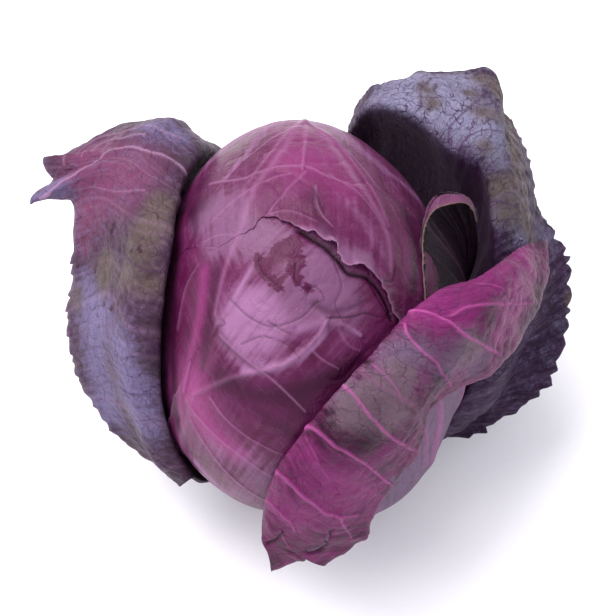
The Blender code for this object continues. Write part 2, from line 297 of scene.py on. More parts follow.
def cabbageSkin(look):
    # Living cabbage leaf: pigmented cells under a thin natural wax. The wax gives a soft broad
    # gloss and a dusty lilac bloom that is missing along the veins and where it was rubbed.
    # The pale bloom tone also paints highlights on the head, and the shade mask and the head's dark lines
    # paint shade into hollows, creases and cracks.
    material, tree = newMaterial(look["name"])
    place = addNode(tree, "ShaderNodeTexCoord", {}, {})["Object"]
    flat = addNode(tree, "ShaderNodeUVMap", {"uv_map": "leafMap"}, {})[0]
    mask = {m: addNode(tree, "ShaderNodeAttribute", {"attribute_name": m}, {})["Fac"] for m in maskNames}
    noise = {}
    for key, rough in (("cloud", 0.55), ("mottle", 0.7), ("fleck", 0.6)):
        noise[key] = addNode(tree, "ShaderNodeTexNoise", {"Scale": 1 / (look[key] * mm), "Detail": 4.0,
                             "Roughness": rough}, {"Vector": place})["Fac"]
    # Fine parallel veins run from the stem to the margin.
    drawn = addNode(tree, "ShaderNodeVectorMath", {"operation": "MULTIPLY", 1: (1.0, 0.05, 1.0)},
                    {0: flat})[0]
    streak = addNode(tree, "ShaderNodeTexNoise", {"Scale": 1 / (look["streak"] * mm), "Detail": 3.0,
                     "Distortion": 0.3}, {"Vector": drawn})["Fac"]
    wander = addNode(tree, "ShaderNodeTexNoise", {"Scale": 1 / (6 * mm), "Detail": 3.0},
                     {"Vector": flat})["Color"]
    bent = addNode(tree, "ShaderNodeVectorMath", {"operation": "MULTIPLY_ADD", 1: (0.008, 0.008, 0.008)},
                   {0: wander, 2: flat})[0]
    nets = []
    for cell, width in look["cells"]:   # vein cells, mm across, and the vein's part of a cell
        edges = addNode(tree, "ShaderNodeTexVoronoi", {"voronoi_dimensions": "2D", "Scale": 1 / (cell * mm),
                        "feature": "DISTANCE_TO_EDGE"}, {"Vector": bent})["Distance"]
        nets.append(addNode(tree, "ShaderNodeMapRange", {"interpolation_type": "SMOOTHSTEP", "From Min": 0.0,
                    "From Max": width, "To Min": 1.0, "To Max": 0.0}, {"Value": edges})[0])
    net = addNode(tree, "ShaderNodeMath", {"operation": "MULTIPLY_ADD", 1: 0.5, "use_clamp": True},
                  {0: nets[1], 2: nets[0]})[0]
    seen = addNode(tree, "ShaderNodeMapRange", {"From Min": 0.35, "From Max": 0.62},
                   {"Value": noise["mottle"]})[0]
    net = addNode(tree, "ShaderNodeMath", {"operation": "MULTIPLY"}, {0: net, 1: seen})[0]

    tone = noise["cloud"]
    for source, weight in ((streak, 0.7), (noise["mottle"], look["grit"])):
        tone = addNode(tree, "ShaderNodeMath", {"operation": "MULTIPLY_ADD", 1: weight},
                       {0: source, 2: tone})[0]
    middle = 0.85 + 0.5 * look["grit"]   # the sum's mean
    tone = addNode(tree, "ShaderNodeMapRange", {"From Min": middle - 0.22, "From Max": middle + 0.22},
                   {"Value": tone})[0]
    deep, mid = linear(look["deep"]), linear(look["mid"])
    colour = addNode(tree, "ShaderNodeMix", {"data_type": "RGBA", 6: deep, 7: mid}, {0: tone})[2]

    # Painted masks get edges broken up by noise: low and high ends, noise and how much of it.
    broken = {}
    noise["vein"] = addNode(tree, "ShaderNodeMix", {"data_type": "FLOAT", 0: look["along"]},
                            {2: noise["mottle"], 3: streak})[0]
    for key, low, high, grit, size in (("bloomAndHighlight", 0.05, 0.95, "vein", look["waxBreak"]),
                                       ("olive", 0.2, 0.9, "vein", 1.6), ("shade", 0.0, 1.0, "vein", 0.6),
                                       ("mark", 0.3, 0.55, "fleck", 1.2)):
        rough = addNode(tree, "ShaderNodeMath", {"operation": "MULTIPLY_ADD", 1: size},
                        {0: noise[grit], 2: mask[key]})[0]
        broken[key] = addNode(tree, "ShaderNodeMapRange", {"interpolation_type": "SMOOTHSTEP",
                              "From Min": low + size / 2, "From Max": high + size / 2}, {"Value": rough})[0]
    bare = addNode(tree, "ShaderNodeMath", {"operation": "MULTIPLY_ADD", 1: -look["netClear"], 2: 1.0,
                   "use_clamp": True}, {0: net})[0]
    for key in ("bloomAndHighlight", "olive"):   # neither wax nor wear covers the fine veins
        broken[key] = addNode(tree, "ShaderNodeMath", {"operation": "MULTIPLY"}, {0: broken[key], 1: bare})[0]
    netShade = addNode(tree, "ShaderNodeMath", {"operation": "MULTIPLY", 1: look["netShade"]}, {0: net})[0]
    # The pale wax tone also stands in for painted highlights on the head; dark is painted shade; crease gives
    # dark veins and painted shade in creases and cracks; rimTone gives pale margins with a painted highlight
    # where the head's leaves lift.
    for key, amount in (("blush", mask["blush"]), ("waxAndHighlight", broken["bloomAndHighlight"]), ("worn", broken["olive"]),
                        ("vein", netShade), ("dark", broken["shade"]), ("bruise", broken["mark"]),
                        ("ribTone", mask["rib"]), ("crease", mask["line"]), ("rimTone", mask["rim"])):
        colour = addNode(tree, "ShaderNodeMix", {"data_type": "RGBA", 7: linear(look[key])},
                         {0: amount, 6: colour})[2]

    gloss = addNode(tree, "ShaderNodeMapRange", {"From Min": 0.3, "From Max": 0.7, "To Min": look["rough"][0],
                    "To Max": look["rough"][1]}, {"Value": noise["mottle"]})[0]
    gloss = addNode(tree, "ShaderNodeMath", {"operation": "MULTIPLY_ADD", 1: 0.15, "use_clamp": True},
                    {0: broken["bloomAndHighlight"], 2: gloss})[0]
    height = noise["mottle"]
    for source, weight in ((net, -0.5), (streak, 0.5), (noise["fleck"], 0.35)):
        height = addNode(tree, "ShaderNodeMath", {"operation": "MULTIPLY_ADD", 1: weight},
                         {0: source, 2: height})[0]
    bump = addNode(tree, "ShaderNodeBump", {"Strength": look["bump"], "Distance": 0.8 * mm},
                   {"Height": height})[0]
    shader = addNode(tree, "ShaderNodeBsdfPrincipled", {"IOR": 1.45, "Specular IOR Level": look["shine"],
                     "Sheen Weight": look["sheen"], "Sheen Roughness": 0.4, "Sheen Tint": linear("#e6dcf0")},
                     {"Base Color": colour, "Roughness": gloss, "Normal": bump})
    addNode(tree, "ShaderNodeOutputMaterial", {}, {"Surface": shader[0]})
    return material


lens = bpy.data.cameras.new("photoCamera")
lens.sensor_width = view["sensor"]
lens.lens = view["pixelsPerMm"] * view["distance"] / view["picture"] * view["sensor"]
lens.clip_end = 20
photoCamera = addObject("photoCamera", lens)
photoCamera.location = (cameraAxes()[0] * mm).tolist()
photoCamera.rotation_euler = (math.radians(90 - view["elevation"]), 0, 0)
bpy.context.scene.camera = photoCamera
bpy.context.scene.view_settings.view_transform = "Standard"

studio = {
    "worldStrength": 1.14, "worldTone": "#f8f8ff",
    # place in metres, width in metres, power in watts, tone
    "lamps": {
        "keyBox": ((-1.0, 0.85, 2.5), 2.3, 102.0, "#fffaf6"),
        "glossBox": ((-1.25, -0.75, 1.9), 0.8, 12.0, "#ffffff"),
    },
    "lampAim": (0.0, 0.0, 0.09),
    "floorHalf": 3, "floorTones": ("#f2f1f4", "#f6f5f8"),
}
world = bpy.data.worlds.new("studioAir")
world.use_nodes = True
air = world.node_tree.nodes["Background"].inputs
air["Color"].default_value = linear(studio["worldTone"])
air["Strength"].default_value = studio["worldStrength"]
bpy.context.scene.world = world
for name, (place, width, power, tone) in studio["lamps"].items():
    lamp = bpy.data.lights.new(name, "AREA")
    lamp.size, lamp.energy, lamp.color = width, power, linear(tone)[:3]
    holder = addObject(name, lamp)
    holder.location = place
    aim = np.array(studio["lampAim"]) - np.array(place)
    holder.rotation_euler = (math.atan2(math.hypot(aim[0], aim[1]), -aim[2]), 0,
                             math.atan2(aim[1], aim[0]) - math.pi / 2)


def paintedFloor():
    # Matt white-painted studio board: an almost even tone with a very fine roller texture.
    material, tree = newMaterial("mattBoard")
    place = addNode(tree, "ShaderNodeTexCoord", {}, {})["Object"]
    grain = addNode(tree, "ShaderNodeTexNoise", {"Scale": 1 / (3 * mm), "Detail": 2.0},
                    {"Vector": place})["Fac"]
    dull, pale = map(linear, studio["floorTones"])
    tone = addNode(tree, "ShaderNodeMix", {"data_type": "RGBA", 6: dull, 7: pale}, {0: grain})[2]
    bump = addNode(tree, "ShaderNodeBump", {"Strength": 0.05, "Distance": 0.2 * mm}, {"Height": grain})[0]
    shader = addNode(tree, "ShaderNodeBsdfPrincipled", {"Roughness": 0.9, "Specular IOR Level": 0.1},
                     {"Base Color": tone, "Normal": bump})
    addNode(tree, "ShaderNodeOutputMaterial", {}, {"Surface": shader[0]})
    return material


board = bpy.data.meshes.new("studioFloor")
half = studio["floorHalf"]
corners = [(-half, -half, 0), (half, -half, 0), (half, half, 0), (-half, half, 0)]
board.from_pydata(corners, [], [(0, 1, 2, 3)])
board.materials.append(paintedFloor())
addObject("studioFloor", board)
print("camera, light and floor are set")


headLook = {
    # sizes in mm: cloud, mottle, fleck, streak and the two vein cells with their line's part of a cell
    # wax is the pale bloom tone and also paints highlights; dark and crease paint shade into hollows, creases
    # and cracks; rimTone also paints a highlight on lifted lips
    "name": "redCabbageWrapLeaf", "deep": "#43082f", "mid": "#5a1e49", "blush": "#7b2862", "waxAndHighlight": "#84597f",
    "worn": "#694263", "vein": "#8a4a78", "dark": "#2e0522", "bruise": "#450733", "ribTone": "#94608a",
    "crease": "#1c0414", "rimTone": "#8d6384",
    "cloud": 24, "mottle": 6, "fleck": 1.8, "streak": 2.6, "cells": [(13, 0.04), (5, 0.06)],
    "netClear": 0.15, "netShade": 0.12, "waxBreak": 1.3, "along": 0.6, "grit": 0.3,
    "rough": (0.30, 0.44), "sheen": 0.02, "shine": 0.2, "bump": 0.5,
}

headTones = {   # tones that run on from leaf to leaf
    # mask, half width mm, strength, relief mm, then pixel column and row of each point in turn
    "lines": [
        # A pale band along the crown's top edge: partly wax bloom, partly a painted highlight where the light
        # grazes it.
        ("bloomAndHighlight", 12, 0.5, 0, [195, 165, 225, 135, 265, 120, 315, 115, 350, 135, 385, 165, 420, 195]),
        ("rib", 2.2, 0.3, 0, [305, 118, 280, 150, 255, 180, 240, 220, 222, 265, 210, 315]),
        ("rib", 2.4, 0.3, 0, [305, 118, 335, 145, 360, 185, 385, 230, 390, 270]),
        ("rib", 0.5, 0.45, 0.2, [300, 126, 270, 138, 240, 160, 215, 187]),
        ("rib", 0.5, 0.4, 0.2, [290, 170, 262, 178, 235, 196, 208, 222]),
        ("rib", 0.5, 0.45, 0.2, [318, 128, 350, 150, 376, 182, 398, 222]),
        ("rib", 0.4, 0.4, 0.2, [330, 172, 355, 190, 378, 220, 392, 250]),
        ("rib", 0.4, 0.35, 0.2, [200, 240, 222, 232, 246, 236]),
        # Dark lines in creases: painted shade.
        ("line", 0.5, 0.5, -0.3, [262, 252, 256, 262, 262, 272, 272, 282, 284, 292]),
        ("line", 0.5, 0.5, -0.3, [296, 266, 296, 280, 306, 288, 318, 286]),
        ("shade", 5, 0.5, -0.3, [313, 195, 322, 225, 337, 255]),
        ("bloomAndHighlight", 5, 0.3, 0.3, [350, 205, 370, 235, 388, 265]),
        ("bloomAndHighlight", 4, 0.5, 0.2, [275, 120, 250, 145, 225, 175]),
        ("shade", 7, 0.75, 0, [172, 250, 168, 320, 170, 380, 178, 430]),
        ("blush", 4, 0.6, 0.4, [200, 270, 195, 315, 185, 365, 180, 425]),
        ("shade", 5, 0.55, -0.3, [212, 268, 208, 300, 203, 340, 200, 370]),
        # A pale arc on the fold's ridge, partly the leaf's paler edge and partly a painted highlight, with
        # painted shade in the band below it.
        ("bloomAndHighlight", 3, 0.7, 0.6, [245, 370, 280, 367, 310, 350, 325, 330, 322, 313]),
        ("shade", 8, 0.7, -0.3, [222, 380, 255, 396, 295, 392, 330, 380, 360, 362]),
        ("shade", 6, 0.5, 0, [250, 400, 275, 425, 300, 438]),
        ("blush", 12, 0.9, 0, [190, 390, 205, 425, 238, 455]),
        # A painted highlight along the lower left edge.
        ("bloomAndHighlight", 5, 0.7, 0, [195, 468, 210, 483, 225, 497]),
        ("shade", 6, 0.8, 0, [405, 215, 415, 250, 412, 290]),
        ("shade", 4, 0.5, 0, [186, 200, 192, 225, 186, 245]),
    ],
    "patches": [   # mask, radius mm, strength, then the same pixels
        ("blush", 12, 0.4, [305, 132, 287, 155, 330, 155, 305, 165, 345, 190]),
        ("olive", 12, 0.8, [200, 215, 225, 205, 240, 232, 215, 240, 262, 235]),
        # Pale spots on the flat top of the front leaf: partly wax bloom, partly a painted highlight.
        ("bloomAndHighlight", 9, 0.7, [245, 300, 243, 322, 266, 342, 240, 348, 278, 314, 226, 325, 262, 305]),
        ("olive", 13, 0.7, [315, 262, 330, 285, 345, 305, 300, 300]),
        ("olive", 13, 0.6, [255, 475, 285, 490, 240, 500]),
        ("bloomAndHighlight", 9, 0.4, [230, 190, 320, 250, 310, 320, 215, 450, 250, 460]),
        ("shade", 10, 0.6, [200, 180, 196, 205, 345, 385, 300, 410]),
    ],
}
frontWrap = {
    # angle from the crown toward +X and toward +Y
    "grain": -45, "crumple": (0.8, (6, -38), 24),   # mm, place and spread
    "outline": [(-90, -160), (-100, -120), (-78, -88), (-77, -68), (-57, -56), (-42, -44), (-29, -36),
                (-24, -28), (-17, -19), (-11, -11), (10, 5), (60, 10), (120, 0), (150, -60), (100, -150),
                (0, -178)],
    "lift": [(1.4, 14, (-77, -72)), (0.3, 12, (-57, -56))],   # mm, spread and place of a raised lip
    "lines": [
        # mask, half width mm, strength, relief mm, then pixel column and row of each point in turn
        ("rib", 0.63, 0.45, 0.5, [217, 335, 240, 355, 267, 377, 290, 398, 307, 413]),
        ("rib", 0.56, 0.36, 0.4, [210, 398, 223, 415, 243, 433, 263, 445, 283, 455]),
        ("rib", 0.56, 0.36, 0.4, [310, 350, 323, 360, 340, 370]),
        ("rib", 1.1, 0.24, 0.9, [193, 395, 230, 378, 260, 372, 290, 362, 317, 338, 330, 318]),
        ("rib", 0.84, 0.3, 0.5, [183, 392, 190, 345, 197, 292]),
        ("rib", 0.77, 0.3, 0.5, [193, 352, 207, 318, 223, 278]),
        ("rib", 0.98, 0.21, 0.4, [190, 420, 210, 452, 235, 480, 262, 500]),
        ("rib", 0.84, 0.21, 0.3, [185, 400, 205, 425, 240, 455, 275, 480]),
        ("rib", 0.84, 0.18, 0.3, [340, 330, 350, 345, 362, 352]),
        # A dark groove along the crack: painted shadow under the back leaf's lifted lip.
        ("line", 1.5, 1.0, -1.2, [300, 230, 313, 238, 327, 248, 341, 262, 349, 272, 367, 277, 378, 287,
            386, 300, 393, 320]),
        # Dark lines in the creases of the crumpled leaf: painted shade.
        ("line", 0.5, 0.8, -0.4, [327, 318, 350, 318, 367, 313, 380, 318]),
        ("line", 0.45, 0.8, -0.3, [223, 292, 213, 305, 208, 322, 215, 318, 222, 323, 215, 328]),
        ("line", 0.5, 0.5, -0.5, [228, 300, 250, 318, 272, 326, 300, 318, 318, 300]),
        ("line", 0.4, 0.45, -0.4, [240, 345, 262, 338, 286, 345, 300, 358]),
        ("line", 0.4, 0.4, -0.3, [335, 262, 342, 285, 336, 305, 345, 322]),
        ("shade", 3, 0.5, -0.3, [215, 335, 232, 352, 250, 365, 272, 377]),
        ("shade", 2.5, 0.5, -0.3, [315, 305, 330, 312, 352, 306, 368, 300]),
        ("bloomAndHighlight", 2.0, 0.6, 0.5, [300, 330, 322, 322, 345, 325, 362, 335]),
        ("bloomAndHighlight", 1.6, 0.6, 0.4, [252, 262, 240, 285, 226, 312]),
        ("line", 0.5, 0.7, -0.4, [370, 272, 372, 285, 383, 305, 390, 318]),
        ("line", 0.5, 0.5, -0.3, [268, 322, 280, 330, 290, 335]),
        ("line", 0.4, 0.5, -0.2, [307, 288, 315, 286, 322, 292, 324, 300, 318, 303]),
    ],
    "patches": [
        ("mark", 4.2, 0.95, [285, 247, 294, 243, 277, 252, 298, 262]),
        ("mark", 2.6, 0.9, [256, 256, 258, 266, 264, 274, 272, 280, 278, 287, 292, 270, 297, 280, 308, 288,
            268, 262]),
    ],
}
backWrap = {
    "grain": 0, "crumple": (0.6, (8, 10), 34),
    "outline": [(-130, -110), (-100, -60), (-80, -30), (-60, -12), (-41, -5), (-29, -11), (-17, -8),
                (-9, -5), (-3, -9), (8, -14), (13, -20), (19, -21), (24, -25), (30, -33), (45, -50),
                (62, -80), (75, -110), (95, -145), (150, -90), (178, 0), (120, 130), (0, 178), (-120, 130),
                (-178, 0)],
    "lift": [(1.8, 8, (5, -12)), (2.2, 8, (16, -21)), (2.6, 8, (25, -27)), (1.6, 12, (36, -40))],
    "lines": [
        ("rib", 0.7, 0.42, 0.5, [207, 182, 225, 179, 245, 175, 269, 165, 289, 163, 311, 165, 331, 175,
            365, 191]),
        ("rib", 1.1, 0.3, 0.6, [306, 116, 306, 130, 303, 165]),
        ("rib", 1.3, 0.24, 0.5, [305, 120, 280, 140, 261, 161, 246, 180]),
        ("rib", 1.3, 0.24, 0.5, [305, 120, 345, 150, 375, 195, 389, 228]),
        ("rib", 0.84, 0.24, 0.4, [306, 169, 280, 195, 246, 240]),
        ("rib", 0.7, 0.27, 0.4, [325, 129, 357, 164, 381, 212, 389, 228]),
        ("rib", 0.63, 0.3, 0.4, [316, 183, 319, 208, 333, 228]),
        ("rib", 0.56, 0.24, 0.3, [267, 212, 283, 208, 300, 212, 317, 222]),
        # Dark lines along creases and under the left arch of the margin: painted shade.
        ("line", 0.7, 0.5, -0.3, [313, 183, 318, 196, 321, 205]),
        ("line", 0.8, 0.5, -0.4, [185, 256, 190, 248, 204, 245, 216, 247, 222, 260]),
        ("line", 0.6, 0.9, -0.5, [395, 270, 392, 281, 383, 282]),
    ],
    "patches": [
        ("olive", 8, 0.7, [362, 262, 352, 262]),
    ],
}
innerWrap = {
    "grain": 20,
    "lines": [("rib", 0.84, 0.24, 0.5, [172, 330, 180, 290, 195, 262])],
    "patches": [],
}


def dents(way):   # shallow flats and hollows of a packed head, all of them inward
    around = way * ball["waveRadius"]
    return -0.9 + 0.9 * swell(around, 75, 5) - 0.25 + 0.25 * swell(around, 26, 8)


def fade(way):   # the layers thin out under the ball
    start, end = ball["layerEnd"]
    return np.clip((end - fallOf(way)) / (end - start), 0.06, 1)


def jagged(spots, seed):   # a leaf margin wanders a little
    flat = np.concatenate([spots, np.zeros_like(spots[..., :1])], -1)
    return 0.7 * swell(flat, 9, seed) + 0.3 * swell(flat, 3, seed + 1)


def ribFan(way, seed):
    # Ribs that rise from the stem and branch toward the crown, as a mask from 0 to 1.
    spots = chartSpots(way)
    turn = np.arctan2(spots[..., 1], spots[..., 0])
    fall = np.linalg.norm(spots, axis=-1)
    sway = 0.12 * swell(way * ball["waveRadius"], 60, seed)
    result = np.zeros(way.shape[:-1])
    rng = np.random.default_rng(seed)
    for count, low, high, width in ((9, 150, 66, 2.3), (18, 125, 56, 1.3)):
        own = rng.uniform(0.35, 1.0, count + 1)
        place = (turn + sway) / (2 * np.pi) * count + 0.3 * count / 9
        off = np.abs(place - np.round(place)) * 2 * np.pi / count * ball["ribRadius"]
        off = off * np.sin(np.radians(fall))
        own = own[np.round(place).astype(int) % count]
        strength = smooth(fall, high, high + 34) * (0.9 if count == 9 else 0.5) * own
        result = np.maximum(result, strength * np.exp(-(off / width) ** 2))
    return result


def ballRows(rings, turns, lowest):   # ways from the centre, and the faces between them
    fall = np.radians(np.linspace(0.2, lowest, int(rings * detail)))
    turn = np.linspace(0, 2 * np.pi, int(turns * detail), endpoint=False)
    turn = turn - 0.4 * np.sin(turn + np.pi / 2)   # closer lines at the front, which shows
    fall, turn = np.meshgrid(fall, turn, indexing="ij")
    number = np.arange(fall.size).reshape(fall.shape)
    beside = np.roll(number, -1, axis=1)
    faces = np.stack([number[:-1], number[1:], beside[1:], beside[:-1]], -1)
    return wayAt(fall, turn).reshape(-1, 3), faces.reshape(-1, 4)


def grainMap(spots, settings):   # the fine veins' way, from the +Y of the chart
    turned = math.radians(settings["grain"])
    across = 1.4 * np.array([[math.cos(turned), math.sin(turned)], [-math.sin(turned), math.cos(turned)]])
    return spots @ across.T


def headMarks(settings):
    return {key: headTones[key] + settings[key] for key in headTones}


def innerLayer(name, settings, seed):
    way, faces = ballRows(*ball["innerRows"])
    base = ballRadius(way) + dents(way)
    masks, relief = paint(ball["centre"] + way * base[:, None], headMarks(settings))
    fan = ribFan(way, seed)
    masks["rib"] = np.maximum(masks["rib"], 0.5 * fan)
    points = ball["centre"] + way * (base + relief + 0.5 * fan)[:, None]
    points[:, 2] = np.maximum(points[:, 2], ball["underside"])
    return addMesh(name, points, faces, masks, grainMap(chartSpots(way), settings), headSkin)


def outerLayer(name, settings, seed):
    way, faces = ballRows(*ball["outerRows"])
    spots = chartSpots(way)
    outline = settings["outline"]
    inward = insideOutline(spots, outline) + jagged(spots, seed)
    pitch = 0.75   # degrees, about the widest gap of the grid
    kept = inward > -pitch
    faces = faces[kept[faces].all(1)]
    # Points just outside the outline are drawn onto it.
    edge = kept & (np.abs(inward) < pitch)
    step = 0.1
    slope = []
    for shift in ((step, 0), (0, step)):
        moved = spots[edge] + shift
        slope.append((insideOutline(moved, outline) + jagged(moved, seed) - inward[edge]) / step)
    slope = np.stack(slope, -1)
    slope = slope / np.maximum((slope ** 2).sum(-1, keepdims=True), 0.2)
    outside = inward[edge] < 0
    spots[edge] -= slope * (inward[edge] * outside)[:, None]
    way[edge] = chartWay(spots[edge])
    inward[edge] = np.where(outside, 0, inward[edge])
    way = unit(way)
    depth = np.maximum(inward, 0) * 1.5   # degrees to about mm
    lift, opened = np.full(len(way), 0.1), np.zeros(len(way))
    for height, spread, place in settings["lift"]:
        near = np.exp(-(np.linalg.norm(spots - np.array(place), axis=1) / spread) ** 2)
        lift += height * near
        opened = np.maximum(opened, near)
    # Where the margin isn't lifted the leaf thins to nothing over the one below it.
    opened = np.maximum(opened, smooth(depth, 0, 16))
    layer = ball["leafStep"] * fade(way) * opened + 0.12
    if name == "headBackLeaf":   # it runs over the front leaf
        layer += ball["leafStep"] * fade(way) * smooth(insideOutline(spots, frontWrap["outline"]), -8, 3)
    top = ballRadius(way) + dents(way) + layer + lift * np.exp(-depth / 5.0)
    masks, relief = paint(ball["centre"] + way * top[:, None], headMarks(settings))
    around = way * ball["waveRadius"]
    folds = (1 - np.abs(swell(around, 24, seed + 3))) ** 4
    folds = folds + 0.3 * (1 - np.abs(swell(around, 11, seed + 4))) ** 4
    sunk, middle, spread = settings["crumple"]
    near = 0.2 + 0.8 * np.exp(-(np.linalg.norm(spots - np.array(middle), axis=1) / spread) ** 2)
    relief -= sunk * folds * near * smooth(depth, 0, 6)
    fan = ribFan(way, seed) * smooth(depth, 0, 8)
    relief += 0.5 * fan
    masks["rib"] = np.maximum(masks["rib"], 0.5 * fan)
    # A pale edge along the lifted lips: the leaf's paler margin with a painted highlight on the lip.
    masks["rim"] = 0.8 * np.exp(-depth / 0.6) * np.clip(lift - 0.2, 0, 1)
    points = ball["centre"] + way * (top + relief)[:, None]
    # The rim: down by the leaf's thickness, then back under the leaf.
    ends = np.concatenate([faces[:, [k, (k + 1) % 4]] for k in range(4)])
    code = ends.min(1).astype(np.int64) * len(points) + ends.max(1)
    _, first, count = np.unique(code, return_index=True, return_counts=True)
    rim = ends[first[count == 1]]
    fall = fallOf(way[rim[:, 0]])
    rim = rim[(fall > 1.0) & (fall < ball["outerRows"][2] - 1)]   # not the open ends of the grid
    loop = np.unique(rim)
    spotsThere = spots[loop]
    slope = np.stack([(insideOutline(spotsThere + shift, outline) - insideOutline(spotsThere, outline)) / 0.5
                      for shift in ((0.5, 0), (0, 0.5))], -1)
    reach = ball["rimReach"] * slope / np.maximum(np.linalg.norm(slope, axis=1, keepdims=True), 0.1)
    under = unit(chartWay(spotsThere + reach))
    low = points[loop] - way[loop] * ball["rimDrop"]
    deep = ball["centre"] + under * (ballRadius(under) + dents(under) - ball["rimSunk"])[:, None]
    a, b = np.searchsorted(loop, rim).T + len(points)
    wall = np.stack([a, a + len(loop), b + len(loop), b], -1)
    faces = np.concatenate([faces, wall, wall + len(loop)])
    points = np.concatenate([points, points[loop], low, deep])
    # part of the margin's own value and what is added to it, for each row of the rim
    # The lower rows of the rim get painted shade, the shadow under the lifted edge.
    carried = {"rim": ((1, 0), (0.5, 0), (0, 0)), "shade": ((1, 0), (0, 0.5), (0, 1))}
    used = np.unique(faces)
    for mask in maskNames:
        rows = [part * masks[mask][loop] + more for part, more in carried.get(mask, 3 * ((0, 0),))]
        masks[mask] = np.concatenate([masks[mask], *rows])[used]
    maps = grainMap(np.concatenate([spots] + 3 * [spotsThere]), settings)
    return addMesh(name, points[used], np.searchsorted(used, faces), masks, maps[used], headSkin)


headSkin = cabbageSkin(headLook)
settle(innerLayer("headInnerLeaf", innerWrap, 11), "head")
settle(outerLayer("headFrontLeaf", frontWrap, 21), "head")
settle(outerLayer("headBackLeaf", backWrap, 31), "head")


# base: azimuths of the leaf's foot, its radius and height. stations: crest, flap and margin from one
# side of the leaf to the other. waves: how many and mm. teeth: from, to, mm and how many. trim and
# crown: place across the leaf, then mm to the right and up, or up, in the picture.
leafLeft = {
    "base": (121, 229, 25.0, 6.0), "gap": 0.5, "rootWall": 3.0, "wall": 1.0,
    "columns": 330, "rise": 90, "flap": 170, "seed": 3,
    "stations": [
        ((-42, 76, 118), (-58, 90, 112), (-76, 95, 96)),
        ((-50, 56, 144), (-64, 76, 144), (-88, 86, 128)),
        ((-56, 38, 153), (-80, 62, 149), (-110, 74, 125)),
        ((-60, 18, 160), (-91, 50, 148), (-134, 63, 126)),
        ((-60, 12, 161), (-94, 45, 148), (-122, 50, 120)),
        ((-61, 6, 162), (-96, 40, 150), (-137, 36, 124)),
        ((-62, -2, 162), (-95, 28, 146), (-115, 35, 122)),
        ((-64, -20, 158), (-92, 10, 142), (-112, 22, 116)),
        ((-67, -38, 146), (-95, -8, 128), (-116, 5, 98)),
        ((-69, -53, 130), (-97, -26, 110), (-115, -10, 80)),
        ((-69, -63, 106), (-94, -42, 86), (-111, -27, 64)),
        ((-64, -72, 78), (-80, -56, 58), (-94, -43, 46)),
        ((-56, -79, 62), (-64, -67, 44), (-71, -55, 33)),
    ],
    "waves": (5, 1.5), "teeth": (0.6, 1.0, 3.4, 40), "pucker": 0.35, "curl": -0.8,
    "crown": [(0, -4), (0.04, -3.5), (0.083, -1), (0.125, 1.5), (0.167, 3), (0.21, 3.5), (0.25, 2),
              (0.3, 0), (1, 0)],
    "trimFrom": 0.84, "trim": [
        (0, 0, 0), (0.12, 0, 0), (0.167, -1, -0.5), (0.21, 0, -5), (0.25, 4.4, 2.4), (0.29, 2, 1),
        (0.333, -2.4, 3.9), (0.38, -1, 3), (0.417, 0.5, 2), (0.46, 0, 4), (0.5, 0, 6), (0.54, 0, 3),
        (0.583, 0, 0), (1, 0, 0)
    ],
    "lines": [
        ("rib", 0.77, 0.54, 0.9, [185, 175, 180, 168, 162, 156, 145, 151, 125, 149, 105, 155, 85, 167,
            57, 187, 40, 198]),
        ("rib", 0.84, 0.3, 0.6, [180, 140, 162, 132, 145, 127, 127, 130, 105, 137, 85, 147, 65, 165]),
        ("rib", 0.7, 0.3, 0.5, [145, 135, 125, 139, 102, 145, 82, 157]),
        ("rib", 0.56, 0.21, 0.3, [145, 191, 127, 192, 107, 190, 90, 187, 75, 190]),
        ("line", 0.7, 0.6, 0.3, [165, 272, 150, 270, 135, 264, 125, 255, 112, 247, 97, 245]),
        ("line", 0.6, 0.5, 0.2, [95, 242, 92, 230, 85, 222, 76, 210]),
        ("line", 0.5, 0.4, 0.2, [175, 219, 160, 214, 145, 215, 127, 217]),
        ("line", 0.6, 0.7, 0.2, [160, 350, 145, 337, 137, 327, 127, 315]),
        ("line", 0.6, 0.6, 0.2, [157, 352, 145, 354, 132, 356, 117, 355, 95, 347, 77, 340]),
        ("line", 0.6, 0.6, 0.2, [122, 395, 120, 387, 107, 382, 92, 391, 77, 391]),
        ("line", 0.5, 0.6, 0.2, [160, 385, 147, 390, 132, 394, 120, 387]),
        ("line", 0.5, 0.5, 0.2, [160, 425, 145, 419, 130, 420]),
    ],
    "patches": [
        ("blush", 16, 1.0, [90, 152, 110, 180, 75, 175, 120, 165, 88, 205, 130, 185]),
        ("blush", 5, 0.9, [84, 245, 85, 238]),
        ("bloomAndHighlight", 15, 0.75, [95, 340, 120, 345, 100, 380, 130, 385, 140, 420, 110, 410, 100, 310, 85, 300]),
        ("bloomAndHighlight", 12, 0.6, [150, 122, 175, 138, 60, 188, 40, 200]),
        ("olive", 11, 0.75, [150, 228, 160, 205, 150, 285, 105, 280, 125, 275, 140, 245, 108, 262, 78, 300]),
        ("shade", 3.5, 0.6, [150, 275, 84, 240, 155, 300, 158, 320]),
        ("mark", 2.2, 0.7, [107, 225, 112, 232, 108, 238, 115, 224, 105, 305, 112, 308, 118, 304, 140, 250,
            132, 252]),
        ("shade", 8, 0.9, [168, 300, 162, 330, 160, 360, 175, 250, 180, 220, 190, 190]),
    ],
}
